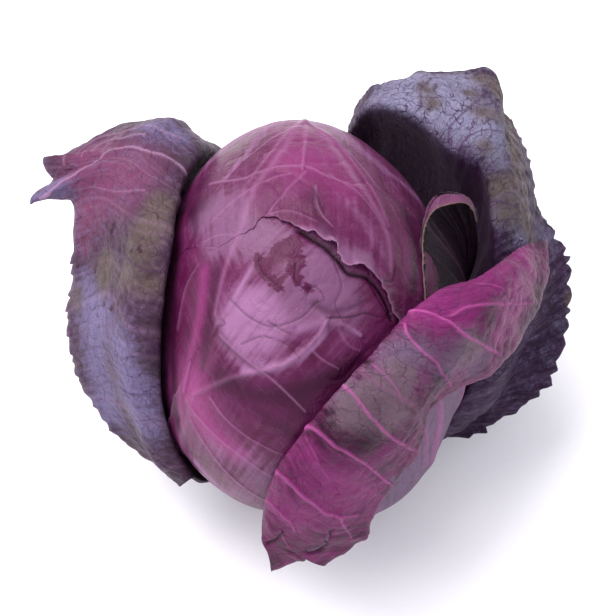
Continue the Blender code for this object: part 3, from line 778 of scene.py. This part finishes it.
leafRight = {
    "base": (69, -40, 25.0, 4.2), "gap": 5.5, "rootWall": 2.4, "wall": 0.9,
    "columns": 380, "rise": 90, "flap": 160, "seed": 7,
    "stations": [
        ((20, 88, 116), (26, 110, 112), (30, 118, 100)),
        ((30, 84, 140), (34, 98, 142), (32, 100, 130)),
        ((43, 76, 150), (48, 94, 152), (46, 107, 134)),
        ((56, 66, 152), (62, 92, 152), (60, 113, 130)),
        ((66, 52, 152), (76, 84, 152), (76, 113, 130)),
        ((79, 44, 150), (90, 74, 148), (89, 110, 130)),
        ((85, 36, 147), (97, 62, 140), (99, 97, 122)),
        ((88, 22, 140), (104, 50, 128), (107, 76, 112)),
        ((89, 5, 128), (110, 32, 114), (114, 54, 104)),
        ((90, -10, 112), (114, 16, 98), (123, 32, 92)),
        ((86, -24, 92), (112, -2, 78), (128, 12, 80)),
        ((78, -34, 68), (102, -16, 58), (124, -8, 62)),
        ((68, -38, 44), (88, -26, 40), (108, -24, 42)),
        ((56, -40, 28), (68, -34, 26), (80, -34, 26)),
    ],
    "waves": (6, 2.0), "teeth": (0.48, 1.0, 6.0, 39), "pucker": 0.55, "curl": 0.6,
    "trimFrom": 0.78, "trim": [
        (0, 0, 0), (0.08, 0, 1), (0.154, 0.5, 0.5), (0.231, 0, 0.8), (0.308, 0, 5), (0.385, 1.8, 4),
        (0.43, 1.6, 3.5), (0.462, 0, 2), (0.54, 0, 0), (1, 0, 0)
    ],
    "lines": [
        ("line", 0.7, 0.8, 0.2, [450, 145, 450, 127, 460, 117, 472, 105, 485, 92, 490, 82]),
        ("line", 0.6, 0.7, 0.2, [460, 150, 467, 139, 480, 132, 495, 131, 510, 132]),
        ("line", 0.6, 0.6, 0.2, [462, 146, 480, 150, 495, 149]),
        ("line", 0.6, 0.6, 0.2, [420, 110, 420, 92, 427, 82, 445, 75]),
        ("line", 0.6, 0.6, 0.2, [487, 170, 500, 172, 515, 166, 527, 160]),
        ("line", 0.6, 0.6, 0.2, [490, 205, 502, 202, 515, 205, 525, 197, 535, 200]),
        ("line", 0.6, 0.6, 0.2, [502, 225, 515, 215, 530, 207, 537, 195]),
        ("line", 0.7, 0.8, 0.2, [515, 247, 530, 240, 540, 232, 555, 232]),
        ("rib", 0.35, 0.21, 0.2, [447, 190, 437, 152, 422, 127, 400, 110]),
        ("rib", 0.35, 0.18, 0.2, [430, 190, 410, 150, 385, 122, 367, 110]),
        ("rib", 0.35, 0.18, 0.2, [460, 200, 455, 170, 440, 140, 418, 115]),
        ("rib", 0.35, 0.18, 0.2, [477, 215, 475, 185, 468, 165]),
    ],
    "patches": [
        ("bloomAndHighlight", 15, 0.85, [400, 88, 430, 84, 460, 80, 440, 110, 465, 115, 480, 130, 390, 100]),
        ("bloomAndHighlight", 9, 0.6, [490, 130, 500, 160, 498, 210, 520, 235, 545, 235]),
        ("bloomAndHighlight", 8, 0.3, [548, 360, 560, 325]),
        ("olive", 11, 0.95, [512, 110, 510, 135, 515, 155, 522, 180, 505, 190, 500, 90, 525, 215]),
        ("olive", 7, 0.75, [432, 104, 480, 76, 495, 115, 470, 95, 425, 88, 532, 240, 485, 145, 478, 112,
            505, 215]),
        ("olive", 5, 0.8, [570, 300, 520, 128]),
    ],
}
leafFront = {
    "base": (243, 333, 25.0, 7.2), "gap": 2.2, "belly": (8, 0.6, 0.35), "rootWall": 2.2, "wall": 1.0,
    "columns": 330, "rise": 80, "flap": 170, "seed": 9,
    "stations": [
        ((-21, -109, 70), (-19, -118, 58), (-18, -119, 42)),
        ((-19, -108, 92), (2, -117, 63), (22, -109, 47)),
        ((-12, -105, 118), (13, -115, 87), (32, -104, 66)),
        ((0, -99, 140), (28, -107, 113), (46, -99, 83)),
        ((14, -89, 154), (44, -97, 129), (57, -91, 100)),
        ((26, -78, 161), (56, -85, 143), (67, -79, 118)),
        ((37, -66, 164), (72, -65, 153), (88, -60, 120)),
        ((47, -54, 165), (88, -41, 154), (106, -38, 112)),
        ((54, -48, 165), (98, -19, 147), (117, -7, 114)),
        ((60, -43, 163), (100, 0, 139), (118, 16, 124)),
    ],
    "waves": (4, 1.0), "pucker": 0.35, "curl": 0.4,
    "trimFrom": 0.82, "trim": [
        (0, 0.5, -1.5), (0.02, 0, 1), (0.035, 0, 1.5), (0.042, 0, 0), (0.05, 0, 8.5), (0.058, 0, 0),
        (0.066, 0, -4.5), (0.08, 0, -2.5), (0.095, 0, -2), (0.111, 1.5, 1.5), (0.222, -1.5, 1.5),
        (0.333, -4.9, 3.4), (0.444, -5.9, 3.9), (0.556, -8.8, 3.9), (0.61, -6.5, 3), (0.667, -3.9, 1.5),
        (0.778, -2.4, 8.5), (0.889, -3.9, 1), (1, -3.4, 0.5)
    ],
    "lines": [
        ("rib", 0.91, 0.6, 1.2, [305, 427, 325, 435, 345, 450, 360, 460, 375, 471, 392, 485]),
        ("rib", 0.49, 0.3, 0.4, [306, 437, 315, 452, 325, 472, 330, 482]),
        ("rib", 0.84, 0.54, 1, [345, 387, 360, 402, 375, 420, 390, 435, 405, 445, 415, 450]),
        ("rib", 0.56, 0.42, 0.5, [372, 365, 385, 375, 395, 387, 402, 400]),
        ("rib", 0.77, 0.54, 0.9, [405, 325, 407, 335, 420, 350, 435, 362, 442, 375, 450, 385]),
        ("rib", 0.98, 0.6, 1.1, [410, 312, 430, 315, 447, 322, 465, 335, 482, 345, 500, 354]),
        ("rib", 0.77, 0.42, 0.8, [450, 317, 465, 309, 485, 305, 507, 304, 532, 302]),
        ("rib", 0.91, 0.54, 1, [277, 472, 295, 487, 312, 502, 325, 512, 340, 516, 357, 515]),
        ("rib", 0.56, 0.36, 0.5, [340, 516, 347, 530, 352, 540]),
        ("rib", 0.7, 0.42, 0.7, [267, 500, 280, 510, 290, 520, 295, 530]),
        ("rib", 0.49, 0.3, 0.4, [280, 530, 287, 542, 292, 552]),
        ("rib", 0.56, 0.3, 0.5, [475, 285, 495, 287, 505, 294]),
        # Dark grooves at the torn end: painted shade in its creases.
        ("line", 1.0, 1.0, -1.0, [268, 543, 275, 540, 283, 531]),
        ("line", 1.3, 1.0, -1.4, [309, 551, 321, 548, 328, 540, 332, 530]),
        ("line", 0.5, 0.9, -0.2, [500, 297, 504, 292]),
    ],
    "patches": [
        ("blush", 16, 0.75, [330, 480, 355, 500, 300, 515, 485, 280, 450, 302, 425, 312]),
        ("blush", 12, 0.9, [380, 470, 405, 440, 500, 330, 520, 310, 515, 290, 528, 262, 505, 345]),
        ("olive", 12, 0.9, [372, 398, 400, 378, 352, 415, 395, 420, 470, 350]),
        ("olive", 7, 0.45, [505, 262, 535, 262]),
        ("bloomAndHighlight", 11, 0.75, [465, 352, 448, 368, 478, 362, 352, 398, 392, 368, 412, 350]),
        ("shade", 11, 0.65, [410, 432, 440, 384, 365, 445, 505, 350, 525, 325, 538, 290, 490, 322, 385, 468]),
        ("shade", 9, 0.35, [340, 445, 375, 405, 350, 530, 478, 370, 455, 345, 418, 338]),
    ],
}
leafCurled = {
    "base": (-26, 22, 25.5, 10.3), "gap": 2.6, "rootWall": 1.4, "wall": 0.8,
    "columns": 150, "rise": 100, "flap": 60, "seed": 13,
    "stations": [
        ((53.7, -39.0, 150.6), (53.6, -39.6, 152.8), (53.5, -40.2, 154.6)),
        ((52.5, -27.4, 154.9), (52.4, -27.9, 157.0), (52.3, -28.5, 158.7)),
        ((52.5, -15.2, 157.8), (52.4, -15.6, 160.0), (52.3, -15.9, 161.7)),
        ((53.6, -6.2, 160.0), (53.5, -6.9, 162.8), (53.4, -7.2, 164.6)),
        ((56.1, 5.3, 161.0), (56.1, 2.4, 165.6), (56.1, -1.4, 166.4)),
        ((59.5, 11.6, 162.0), (59.5, 8.2, 166.9), (59.4, 2.5, 167.2)),
        ((64.2, 13.9, 162.0), (64.2, 10.6, 167.0), (64.1, 4.8, 167.2)),
        ((69.4, 13.5, 161.0), (69.2, 11.0, 165.7), (68.9, 6.7, 166.2)),
        ((73.8, 14.1, 158.0), (73.8, 12.4, 161.8), (73.8, 8.7, 162.2)),
        ((77.3, 12.0, 153.0), (77.3, 10.6, 156.2), (77.3, 7.8, 157.0)),
        ((79.0, 10.7, 147.0), (79.1, 9.8, 149.4), (79.2, 7.9, 150.0)),
    ],
    "waves": (2, 0.2), "pucker": 0.2, "curl": 0.0,
    "lines": [],
    "patches": [("blush", 8, 0.7, [440, 208, 460, 200])],
}


def sheetNormals(sheet):
    return unit(np.cross(np.gradient(sheet, axis=0), np.gradient(sheet, axis=1)))


def insideBox(points):   # eases the outermost tips to stay within the solids' box
    low, high = np.array(cadBox) / mm
    ease = 3.0
    over = np.maximum(points - (high - ease - 0.8), 0)
    points = points - over + ease * (1 - np.exp(-over / ease))
    over = np.maximum((low + ease + 0.8) - points, 0)
    return points + over - ease * (1 - np.exp(-over / ease))


def leafSheet(leaf):
    across = np.linspace(0, 1, int(leaf["columns"] * detail))
    crest, flap, margin = np.moveaxis(along(leaf["stations"], across), 1, 0)
    first, last, radius, height = leaf["base"]
    turn = np.radians(first + (last - first) * across)
    base = np.stack([radius * np.cos(turn), radius * np.sin(turn), np.full_like(turn, height)], -1)
    # The rise follows the ball, from the base to the crest.
    centre = ball["centre"]
    low, high = unit(base - centre), unit(crest - centre)
    sweep = np.arccos(np.clip((low * high).sum(-1), -1, 1))[:, None]
    lowGap = np.linalg.norm(base - centre, axis=-1) - ballRadius(low)
    highGap = np.linalg.norm(crest - centre, axis=-1) - ballRadius(high)
    swelling, middle, heightPart = leaf.get("belly", (0, 0.5, 0.4))   # mm, and places across and up
    belly = (swelling * np.exp(-((across - middle) / 0.2) ** 2))[:, None]
    stops = []
    for part in (0, 0.2, 0.4, 0.6, 0.8, 1):
        way = (np.sin((1 - part) * sweep) * low + np.sin(part * sweep) * high) / np.sin(sweep)
        gap = lowGap + (highGap - lowGap) * part**3 + leaf["gap"] * np.sin(np.pi * part)
        reach = (ballRadius(way) + gap)[:, None] + belly * np.exp(-((part - heightPart) / 0.2) ** 2)
        stops.append(centre + way * reach)
    fold = np.clip(np.linalg.norm(flap - crest, axis=-1) / 30, 0, 1)
    stops += [crest + 0.35 * (flap - crest) + high * (6.5 * fold)[:, None], flap, margin]
    crestPart = 5 / 8   # the crest is the sixth of nine stops
    rows = np.concatenate([np.linspace(0, crestPart, int(leaf["rise"] * detail), endpoint=False),
                           np.linspace(crestPart, 1, int(leaf["flap"] * detail))])
    sheet = along(stops, rows).transpose(1, 0, 2)
    waves, swing = leaf["waves"]
    sway = swing * np.sin(2 * np.pi * waves * across)[:, None] * rows ** 4
    ripple = 0.5 * swing * swell(np.stack([across * 200, across * 0, across * 0], -1), 16, leaf["seed"])
    sway = sway + ripple[:, None] * smooth(rows, 0.75, 1.0)
    blister = swell(sheet, 15, leaf["seed"] + 1) + 0.7 * (1 - 2 * np.abs(swell(sheet, 9, leaf["seed"] + 2)))
    sway = sway + leaf["pucker"] * blister * smooth(rows, 0.55, 0.7)
    sway = sway + leaf["curl"] * smooth(rows, 0.93, 1.0) ** 2
    sheet = sheet + sheetNormals(sheet) * sway[..., None]
    right, up = cameraAxes()[2:]
    if "trim" in leaf:   # the margin's own run, moved across and up in the picture's plane
        where, sideways, upward = np.array(leaf["trim"]).T
        moved = (np.interp(across, where, sideways)[:, None] * right
                 + np.interp(across, where, upward)[:, None] * up)
        sheet = sheet + moved[:, None] * smooth(rows, leaf["trimFrom"], 1.0)[:, None]
    if "crown" in leaf:   # the turned-over part, moved up or down in the picture
        where, upward = np.array(leaf["crown"]).T
        lifted = np.interp(across, where, upward)[:, None] * np.exp(-((rows - 0.82) / 0.13) ** 2)
        sheet = sheet + lifted[..., None] * up
    if "teeth" in leaf:
        out = unit(sheet[:, -1] - sheet[:, -max(int(12 * detail), 3)])
        start, end, length, count = leaf["teeth"]
        rng = np.random.default_rng(leaf["seed"])
        place = count * (across + 0.006 * np.sin(70 * across + 1) + 0.003 * np.sin(160 * across))
        tooth = np.floor(place).astype(int)
        part = place - tooth
        heights = rng.uniform(0.45, 1.15, count + 3)[tooth]
        form = np.minimum(part / 0.68, (1 - part) / 0.32) * heights * (across >= start) * (across <= end)
        reach = length * form[:, None] * smooth(rows, 0.955, 1.0)
        lean = unit(np.gradient(sheet[:, -1], axis=0))
        sheet = sheet + (out + 0.25 * lean)[:, None] * reach[..., None]
    return insideBox(sheet), across, rows


# a loose leaf's rough size, and how far its faces lie apart in the pattern, so that they differ
blade = {"width": 230, "length": 260, "apart": 400}


def leafRibs(across, rows, seed):
    # A fan of ribs from the stem that fork on their way to the margin, as a mask.
    rng = np.random.default_rng(seed)
    u, v = np.meshgrid(across, rows, indexing="ij")
    result = np.zeros_like(u)
    wander = 0.012 * np.sin(2 * np.pi * (1.3 * v + 0.7 * u)) + 0.006 * np.sin(2 * np.pi * (4 * v + 2 * u))
    orders = ((5, 0.0, 2.4, 1.0), (10, 0.28, 1.3, 0.75), (20, 0.5, 0.8, 0.5), (40, 0.62, 0.5, 0.35))
    for count, begin, width, strength in orders:
        for number in range(count):
            centre = (number + 0.5 + rng.uniform(-0.2, 0.2)) / count
            rise = np.clip((v - begin) / (1 - begin), 0, 1)
            start = centre + (0.5 - (centre * 5 % 1)) / 5 * 0.8 if count > 5 else centre
            line = start + (centre - start) * smooth(rise, 0, 0.5) + wander
            off = np.abs(u - line) * blade["width"] * (0.35 + 0.65 * v)
            taper = width * (1.1 - 0.75 * v)
            form = np.exp(-(off / taper) ** 2) * smooth(v, begin, begin + 0.08)
            result = np.maximum(result, strength * form)
    return result


def leafPiece(name, leaf, look):
    sheet, across, rows = leafSheet(leaf)
    lines, steps = sheet.shape[:2]
    count = lines * steps
    normals = sheetNormals(sheet)
    middle = sheet.reshape(-1, 3)
    masks, relief = paint(middle, leaf, sheet)
    ribs = leafRibs(across, rows, leaf["seed"]).ravel()
    v = np.tile(rows, lines)
    facing = (normals[:, steps // 4] * (ball["centre"] - sheet[:, steps // 4])).sum(-1).mean() > 0
    inner = 1 if facing else -1   # the side of the blade that faces the ball on the way up
    inward = inner * normals.reshape(-1, 3)
    overCrest = smooth(v, 0.60, 0.66)
    wall = leaf["wall"] + (leaf["rootWall"] - leaf["wall"]) * (1 - v) ** 1.5
    wall = wall * (1 - 0.6 * smooth(v, 0.985, 1.0))
    fan = ribs * look["topRibs"]
    top = middle + inward * (wall / 2 + relief * overCrest + 0.3 * fan * overCrest)[:, None]
    under = middle - inward * (wall / 2 + 0.9 * ribs)[:, None]
    rim = look["rimStrength"] * np.exp(-((1 - v) * blade["length"]) / look["rimWidth"])
    masks["rib"] = np.maximum(masks["rib"], fan)
    masks["rim"] = rim
    # Painted shade on the rising inner face, which turns toward the ball.
    masks["shade"] = np.maximum(masks["shade"], look["inside"] * (1 - smooth(v, 0.6, 0.645)))
    masks["bloomAndHighlight"] = np.maximum(masks["bloomAndHighlight"], look["topBloom"] * overCrest)
    underMasks = {"rib": look["underRibs"] * ribs, "bloomAndHighlight": np.full(count, look["underBloom"]), "rim": rim,
                  "shade": look["underShade"] * smooth(v, 0.3, 0.6)}
    masks = {m: np.concatenate([masks[m], underMasks.get(m, np.zeros(count))]) for m in maskNames}
    number = np.arange(count).reshape(lines, steps)
    quad = np.stack([number[:-1, :-1], number[1:, :-1], number[1:, 1:], number[:-1, 1:]], -1).reshape(-1, 4)
    loop = np.concatenate([number[:, 0][::-1], number[0, 1:], number[1:, -1], number[-1, 1:-1][::-1]])
    after = np.roll(loop, -1)
    edge = np.stack([loop, after, after + count, loop + count], -1)
    faces = np.concatenate([quad, quad[:, ::-1] + count, edge])[:, ::inner]
    wide, tall = [np.cumsum(np.concatenate([[0], np.linalg.norm(np.diff(line, axis=0), axis=1)]))
                  for line in (sheet[:, int(0.8 * steps)], sheet[lines // 2])]
    maps = np.stack([np.repeat(wide, steps), np.tile(tall, lines)], -1)
    maps = np.concatenate([maps, maps + blade["apart"]])
    return addMesh(name, np.concatenate([top, under]), faces, masks, maps, cabbageSkin(look))


waxyLook = {   # what the loose leaves have in common
    "mottle": 5, "cloud": 16, "fleck": 1.6, "along": 0.35, "sheen": 0.02, "shine": 0.16, "bump": 0.85,
    "topRibs": 0.1, "rimStrength": 0.4, "rimWidth": 1.1, "underShade": 0.0,
}
leftLook = {
    **waxyLook, "name": "waxyLeafDusky", "deep": "#2d1829", "mid": "#3c2039", "blush": "#5f2c4c",
    "waxAndHighlight": "#61577a", "worn": "#4a3d3a", "vein": "#361a38", "dark": "#230d20", "bruise": "#2a0d22",
    "ribTone": "#a982a4", "crease": "#331138", "rimTone": "#7d6a82",
    "cloud": 18, "streak": 2.4, "cells": [(9, 0.05), (3.6, 0.08)], "netClear": 0.55, "netShade": 0.6,
    "waxBreak": 2.0, "grit": 1.2, "rough": (0.40, 0.55), "bump": 0.9,
    "inside": 0.5, "topBloom": 0.15, "underBloom": 0.5, "underRibs": 0.4,
}
rightLook = {
    **waxyLook, "name": "waxyLeafSlate", "deep": "#1f0b23", "mid": "#371f3d", "blush": "#471a38",
    "waxAndHighlight": "#726f88", "worn": "#4f4440", "vein": "#2c0f34", "dark": "#2b0b2c", "bruise": "#1b0b18",
    "ribTone": "#5f4d66", "crease": "#3a1f45", "rimTone": "#5f5666",
    "fleck": 1.5, "streak": 2.0, "cells": [(6, 0.08), (2.5, 0.13)], "netClear": 0.85, "netShade": 0.7,
    "waxBreak": 2.0, "grit": 1.3, "rough": (0.42, 0.56), "shine": 0.14, "bump": 1.0, "topRibs": 0.3,
    "rimStrength": 0.3, "inside": 0.75, "topBloom": 0.15, "underBloom": 0.4, "underRibs": 0.35,
}
frontLook = {
    **waxyLook, "name": "waxyLeafMagenta", "deep": "#240419", "mid": "#64164e", "blush": "#701c5a",
    "waxAndHighlight": "#655069", "worn": "#5f4c58", "vein": "#3c1130", "dark": "#1a0415", "bruise": "#330a27",
    "ribTone": "#b04f94", "crease": "#12030d", "rimTone": "#8d7085",
    "streak": 2.4, "cells": [(9, 0.05), (3.4, 0.08)], "netClear": 0.4, "netShade": 0.45,
    "waxBreak": 1.8, "grit": 0.7, "rough": (0.36, 0.50),
    "inside": 0.4, "topBloom": 0.0, "underBloom": 0.75, "underRibs": 0.3,
}
curledLook = {
    **waxyLook, "name": "waxyLeafCurled", "deep": "#220d1f", "mid": "#371b32", "blush": "#6a3559",
    "waxAndHighlight": "#574862", "worn": "#665450", "vein": "#2c1128", "dark": "#0f040c", "bruise": "#1f0b1b",
    "ribTone": "#8a5f80", "crease": "#2a0f24", "rimTone": "#7d655c",
    "mottle": 4, "cloud": 12, "fleck": 1.4, "streak": 2.0, "cells": [(9, 0.06), (3.0, 0.10)],
    "netClear": 0.5, "netShade": 0.5, "waxBreak": 1.6, "grit": 0.9, "rough": (0.42, 0.55),
    "topRibs": 0.2, "rimStrength": 0.9, "rimWidth": 2.2, "inside": 0.55, "topBloom": 0.05,
    "underBloom": 0.2, "underRibs": 0.12, "underShade": 0.75,
}
settle(leafPiece("leafLeftPiece", leafLeft, leftLook), "leaf_left")
settle(leafPiece("leafRightPiece", leafRight, rightLook), "leaf_right")
settle(leafPiece("leafFrontPiece", leafFront, frontLook), "leaf_front")
settle(leafPiece("leafCurledPiece", leafCurled, curledLook), "leaf_curled")


stem = {
    "footRadius": 21.0, "topRadius": 22.5, "height": 11.7, "edge": 1.2, "around": 160, "rows": 26,
    "woodRing": (13.5, 18.0), "rindRing": (20.5, 22.8),
    "pith": "#d9d3b4", "wood": "#b9ad86", "rind": "#8c7a78", "stain": "#7a6350",
}


def cutStemMaterial():
    # Fresh-cut cabbage stalk: moist pale pith with a ring of wood fibres, under a thin rind
    # that is flushed purple. The knife leaves a slightly rough face that browns at the rim.
    material, tree = newMaterial("cutStalk")
    place = addNode(tree, "ShaderNodeTexCoord", {}, {})["Object"]
    parts = addNode(tree, "ShaderNodeSeparateXYZ", {}, {0: place})
    flat = addNode(tree, "ShaderNodeCombineXYZ", {}, {0: parts[0], 1: parts[1]})[0]
    radius = addNode(tree, "ShaderNodeVectorMath", {"operation": "LENGTH"}, {0: flat})["Value"]
    noise, fibre = [addNode(tree, "ShaderNodeTexNoise", {"Scale": 1 / (size * mm), "Detail": fine},
                            {"Vector": place})["Fac"] for size, fine in ((5, 4.0), (0.9, 2.0))]
    bent = addNode(tree, "ShaderNodeMath", {"operation": "MULTIPLY_ADD", 1: 4 * mm}, {0: noise, 2: radius})[0]
    ring, edge = [addNode(tree, "ShaderNodeMapRange", {"interpolation_type": "SMOOTHSTEP",
                          "From Min": start * mm, "From Max": end * mm}, {"Value": bent})[0]
                  for start, end in (stem["woodRing"], stem["rindRing"])]
    spots = addNode(tree, "ShaderNodeMapRange", {"From Min": 0.55, "From Max": 0.75, "To Max": 0.6},
                    {"Value": fibre})[0]
    pith, wood = linear(stem["pith"]), linear(stem["wood"])
    colour = addNode(tree, "ShaderNodeMix", {"data_type": "RGBA", 6: pith, 7: wood}, {0: ring})[2]
    for key, amount in (("rind", edge), ("stain", spots)):
        colour = addNode(tree, "ShaderNodeMix", {"data_type": "RGBA", 7: linear(stem[key])},
                         {0: amount, 6: colour})[2]
    rough = addNode(tree, "ShaderNodeMapRange", {"To Min": 0.5, "To Max": 0.75}, {"Value": fibre})[0]
    bump = addNode(tree, "ShaderNodeBump", {"Strength": 0.6, "Distance": 0.5 * mm}, {"Height": fibre})[0]
    shader = addNode(tree, "ShaderNodeBsdfPrincipled", {"IOR": 1.42},
                     {"Base Color": colour, "Roughness": rough, "Normal": bump})
    addNode(tree, "ShaderNodeOutputMaterial", {}, {"Surface": shader[0]})
    return material


def stemPiece():
    foot, top, height, edge = stem["footRadius"], stem["topRadius"], stem["height"], stem["edge"]
    # radius and height, from the middle of the cut face outward and up
    profile = [(0.5, 0.25), (6, 0.2), (12, 0.12), (17, 0.05), (foot - edge, 0.0), (foot - 0.4 * edge, 0.25),
               (foot, edge)]
    for t in np.linspace(0.1, 1, stem["rows"]):
        profile.append((foot + (top - foot) * t, edge + (height - edge) * t))
    profile = np.array(profile + [(top - 2, height), (0.5, height)])
    radius, level = profile[:, :1], profile[:, 1:]
    turn = np.linspace(0, 2 * np.pi, stem["around"], endpoint=False)
    scars = -0.5 - 0.5 * np.sin(9 * turn + 2.0 * np.sin(level * 0.5))
    radius = radius + smooth(level, 0.5, 2.0) * (radius > 18) * (0.5 * scars - 0.2)
    points = np.stack([radius * np.cos(turn), radius * np.sin(turn), level + 0 * turn], -1)
    number = np.arange(radius.size).reshape(radius.shape)
    beside = np.roll(number, -1, axis=1)
    faces = np.stack([number[:-1], beside[:-1], beside[1:], number[1:]], -1).reshape(-1, 4)
    return addMesh("cutStemPiece", points.reshape(-1, 3), faces, {}, None, cutStemMaterial())


settle(stemPiece(), "cut_stem")
